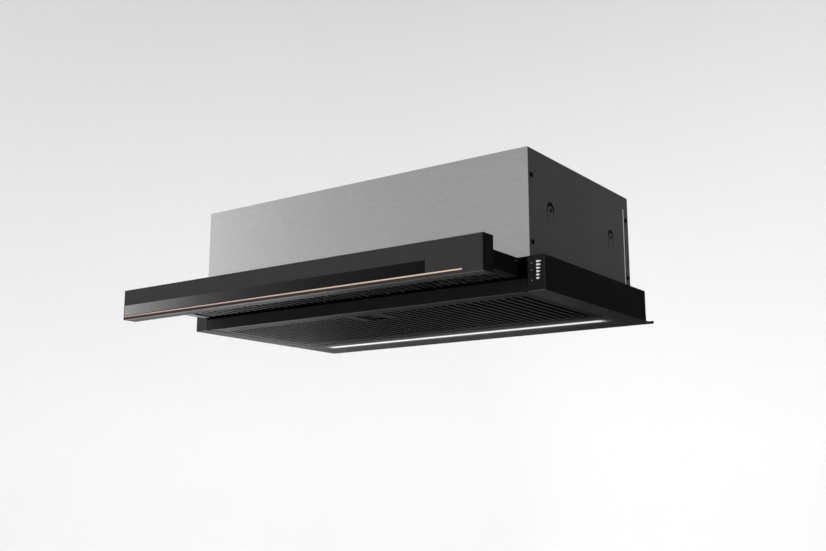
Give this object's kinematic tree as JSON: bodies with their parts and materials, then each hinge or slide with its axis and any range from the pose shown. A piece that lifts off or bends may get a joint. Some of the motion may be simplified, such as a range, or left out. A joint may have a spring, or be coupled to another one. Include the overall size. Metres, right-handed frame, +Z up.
{
  "type": "telescopic range hood",
  "caption": "Built-in cooker hood with a steel-fronted casing, a slide-out visor, a slotted grease filter, an LED strip and a round duct collar.",
  "frame": {"origin": "middle of the footprint on the underside, with the visor drawn out as far as it stands at rest", "axes": "+X along the width to the side with the keys, +Y towards the wall, +Z up through the duct collar"},
  "size_m": [0.598, 0.4616, 0.214],
  "materials": {
    "brushed_steel": "brushed lengthways, satin",
    "casing_paint": "fine satin powder coat",
    "frame_paint": "fine satin powder coat",
    "underside_paint": "satin grey coat",
    "tray_paint": "satin grey coat",
    "filter_paint": "satin grey coat",
    "galvanised_steel": "galvanised, faint spangle",
    "screws": "black passivated",
    "fascia_plastic": "fine grained moulding",
    "key_white": "white, backlit look",
    "lamp_lens": "frosted light guides",
    "circuit_board": "solder mask",
    "duct_plastic": "black moulding",
    "blower_plastic": "black moulding",
    "wheel_plastic": "dark moulding",
    "bright_steel": "ground",
    "motor_metal": "cast and machined",
    "capacitor_can": "drawn can",
    "box_plastic": "light grey moulding",
    "light_diffuser": "opal",
    "bare_aluminium": "extruded",
    "runner_steel": "zinc plated",
    "visor_grey": "matte dark grey anodised",
    "visor_end_plastic": "fine grained moulding",
    "gloss_inlay": "high gloss",
    "copper_trim": "polished copper colour",
    "rubber": "soft",
    "filter_mesh": "layers of expanded mesh",
    "latch_plastic": "fine grained moulding"
  },
  "bodies": {
    "housing": {"front_panel": "brushed_steel", "side_panel_left": "casing_paint", "side_panel_right": "casing_paint", "back_panel": "galvanised_steel", "top_panel": "galvanised_steel", "housing_screws": "screws", "cheek_left": "frame_paint", "cheek_right": "frame_paint", "front_rail": "underside_paint", "rear_deck": "underside_paint", "rear_wall": "galvanised_steel", "rear_spacer": "underside_paint", "control_fascia": "fascia_plastic", "end_fascia": "fascia_plastic", "key_board": "circuit_board", "key_lamps": "lamp_lens", "outlet_collar": "duct_plastic", "flap_pin": "screws", "cable_gland": "duct_plastic", "scroll_left": "blower_plastic", "scroll_right": "blower_plastic", "inlet_rings": "galvanised_steel", "motor": "motor_metal", "motor_bracket": "galvanised_steel", "capacitor": "capacitor_can", "electronics_box": "box_plastic", "electronics_lid": "box_plastic", "power_board": "circuit_board", "led_diffuser": "light_diffuser", "led_profile": "bare_aluminium", "led_board": "circuit_board", "runner_brackets": "galvanised_steel", "runner_outers": "runner_steel"},
    "runner_middle": {"runner_middles": "runner_steel", "runner_balls": "bright_steel"},
    "visor": {"runner_inners": "runner_steel", "visor_front": "visor_grey", "visor_back_plate": "visor_grey", "visor_end_caps": "visor_end_plastic", "visor_inlay": "gloss_inlay", "copper_trim": "copper_trim", "visor_tray": "tray_paint", "visor_grille": "tray_paint", "visor_bumpers": "rubber"},
    "filter": {"filter_face": "filter_paint", "filter_rim": "bare_aluminium", "filter_mesh": "filter_mesh", "latch_guides": "bare_aluminium"},
    "latch": {"filter_latch": "latch_plastic"},
    "fan": {"impeller": "wheel_plastic", "impeller_blades": "wheel_plastic", "motor_shaft": "bright_steel"},
    "flap_front": {"flap_front": "duct_plastic"},
    "flap_back": {"flap_back": "duct_plastic"},
    "key_1": {"key_1": "key_white"},
    "key_2": {"key_2": "key_white"},
    "key_3": {"key_3": "key_white"},
    "key_4": {"key_4": "key_white"},
    "key_5": {"key_5": "key_white"},
    "key_6": {"key_6": "key_white"}
  },
  "joints": [
    {"name": "visor_slide", "type": "slide", "parent": "housing", "child": "visor", "axis": [0, -1, 0], "range_m": [-0.1151, 0.0439]},
    {"name": "runner_middle_slide", "type": "slide", "parent": "housing", "child": "runner_middle", "axis": [0, -1, 0], "range_m": [-0.0576, 0.022]},
    {"name": "filter_hinge", "type": "hinge", "parent": "housing", "child": "filter", "pos_m": [0, 0.13205, 0.00125], "axis": [1, 0, 0], "range_deg": [0, 60]},
    {"name": "latch_slide", "type": "slide", "parent": "filter", "child": "latch", "axis": [0, -1, 0], "range_m": [0, 0.004]},
    {"name": "fan_spin", "type": "hinge", "parent": "housing", "child": "fan", "pos_m": [0, 0.00416, 0.11939], "axis": [1, 0, 0], "continuous": true},
    {"name": "flap_front_hinge", "type": "hinge", "parent": "housing", "child": "flap_front", "pos_m": [0, 0.05405, 0.1905], "axis": [-1, 0, 0], "range_deg": [0, 72]},
    {"name": "flap_back_hinge", "type": "hinge", "parent": "housing", "child": "flap_back", "pos_m": [0, 0.05405, 0.1905], "axis": [1, 0, 0], "range_deg": [0, 72]},
    {"name": "key_1_press", "type": "slide", "parent": "housing", "child": "key_1", "axis": [0, 1, 0], "range_m": [0, 0.001], "stiffness_N_per_m": 500},
    {"name": "key_2_press", "type": "slide", "parent": "housing", "child": "key_2", "axis": [0, 1, 0], "range_m": [0, 0.001], "stiffness_N_per_m": 500},
    {"name": "key_3_press", "type": "slide", "parent": "housing", "child": "key_3", "axis": [0, 1, 0], "range_m": [0, 0.001], "stiffness_N_per_m": 500},
    {"name": "key_4_press", "type": "slide", "parent": "housing", "child": "key_4", "axis": [0, 1, 0], "range_m": [0, 0.001], "stiffness_N_per_m": 500},
    {"name": "key_5_press", "type": "slide", "parent": "housing", "child": "key_5", "axis": [0, 1, 0], "range_m": [0, 0.001], "stiffness_N_per_m": 500},
    {"name": "key_6_press", "type": "slide", "parent": "housing", "child": "key_6", "axis": [0, 1, 0], "range_m": [0, 0.001], "stiffness_N_per_m": 500}
  ],
  "couplings": [
    {"joint": "runner_middle_slide", "follows": "visor_slide", "ratio": 0.5}
  ]
}
